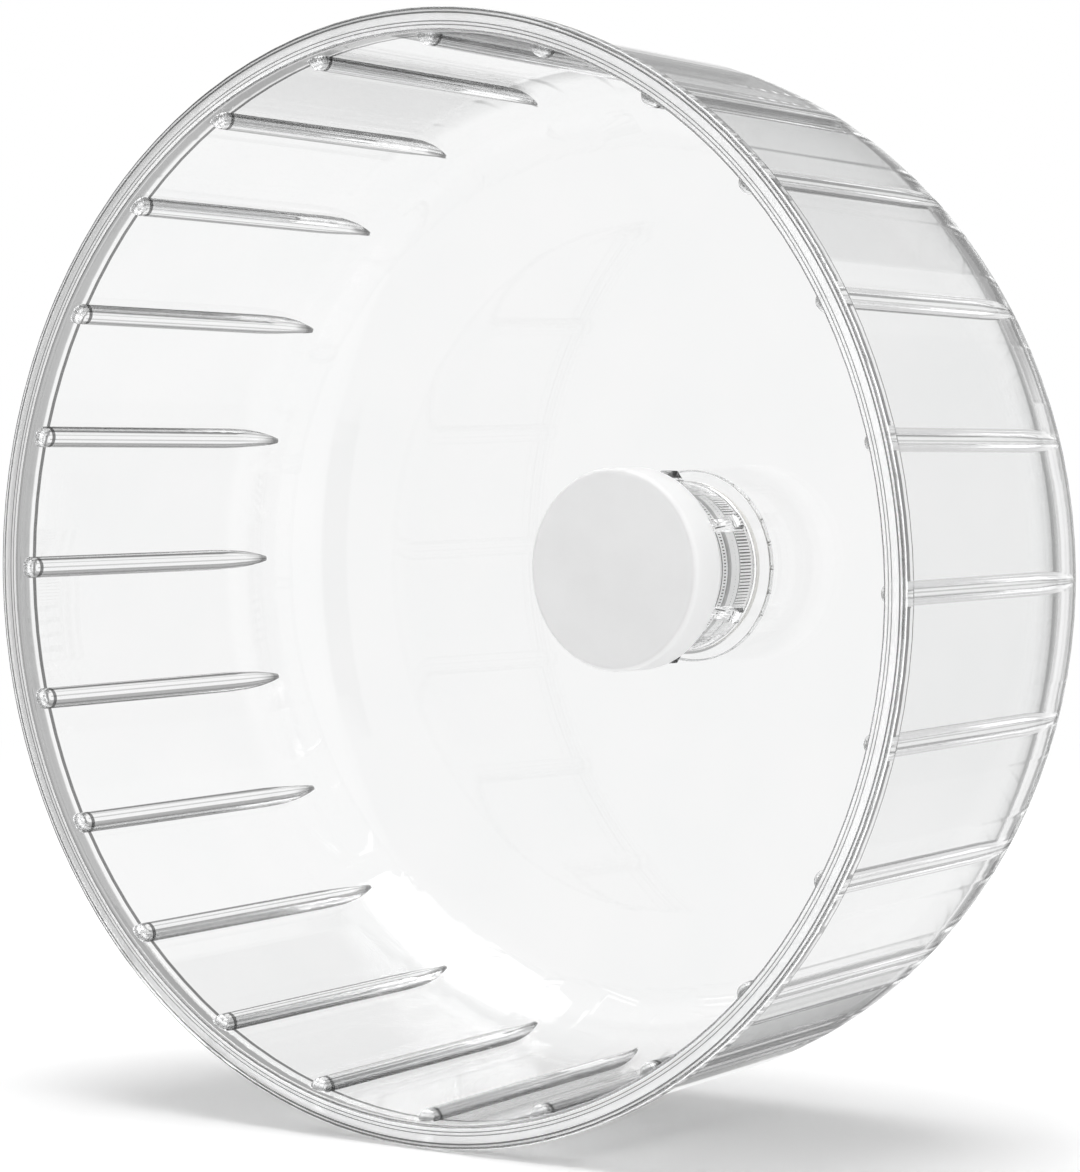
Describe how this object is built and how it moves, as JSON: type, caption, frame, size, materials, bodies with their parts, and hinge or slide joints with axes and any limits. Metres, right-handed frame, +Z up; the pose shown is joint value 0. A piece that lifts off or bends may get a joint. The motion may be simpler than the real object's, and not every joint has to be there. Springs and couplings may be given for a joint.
{
  "type": "hamster wheel",
  "caption": "Clear solid-walled running wheel with half-round rungs and a rounded back, turning on shielded ball bearings in a hub boss on a flanged stub axle.",
  "frame": {"origin": "centre of the flat rear face of the axle's mounting flange", "axes": "+Y along the wheel's axis towards what it is mounted on, so the open front faces -Y; +Z up; +X to the right seen from the front"},
  "size_m": [0.21, 0.0977, 0.21],
  "materials": {
    "clear_plastic": "polished clear moulding",
    "white_plastic": "satin white moulding",
    "nylon": "satin natural white",
    "bearing_steel": "ground and polished",
    "zinc_steel": "bright zinc plating",
    "cage_plastic": "moulded brown nylon"
  },
  "bodies": {
    "axle_unit": {"axle": "nylon", "front_bearing_inner_race": "bearing_steel", "rear_bearing_inner_race": "bearing_steel", "inner_spacer": "nylon", "axle_washer": "zinc_steel", "axle_screw": "zinc_steel"},
    "wheel": {"running_drum": "clear_plastic", "hub_cap": "white_plastic", "front_bearing_outer_race": "bearing_steel", "rear_bearing_outer_race": "bearing_steel", "bearing_sleeve": "white_plastic", "front_bearing_front_shield": "zinc_steel", "front_bearing_rear_shield": "zinc_steel", "rear_bearing_front_shield": "zinc_steel", "rear_bearing_rear_shield": "zinc_steel"},
    "front_ball_set": {"front_bearing_cage": "cage_plastic", "front_bearing_ball_1": "bearing_steel", "front_bearing_ball_2": "bearing_steel", "front_bearing_ball_3": "bearing_steel", "front_bearing_ball_4": "bearing_steel", "front_bearing_ball_5": "bearing_steel", "front_bearing_ball_6": "bearing_steel", "front_bearing_ball_7": "bearing_steel"},
    "rear_ball_set": {"rear_bearing_cage": "cage_plastic", "rear_bearing_ball_1": "bearing_steel", "rear_bearing_ball_2": "bearing_steel", "rear_bearing_ball_3": "bearing_steel", "rear_bearing_ball_4": "bearing_steel", "rear_bearing_ball_5": "bearing_steel", "rear_bearing_ball_6": "bearing_steel", "rear_bearing_ball_7": "bearing_steel"}
  },
  "joints": [
    {"name": "wheel_spin", "type": "hinge", "parent": "axle_unit", "child": "wheel", "pos_m": [0, 0, 0], "axis": [0, -1, 0], "continuous": true},
    {"name": "front_ball_set_spin", "type": "hinge", "parent": "axle_unit", "child": "front_ball_set", "pos_m": [0, 0, 0], "axis": [0, -1, 0], "continuous": true},
    {"name": "rear_ball_set_spin", "type": "hinge", "parent": "axle_unit", "child": "rear_ball_set", "pos_m": [0, 0, 0], "axis": [0, -1, 0], "continuous": true}
  ],
  "couplings": [
    {"joint": "front_ball_set_spin", "follows": "wheel_spin", "ratio": 0.63222},
    {"joint": "rear_ball_set_spin", "follows": "wheel_spin", "ratio": 0.63222}
  ]
}
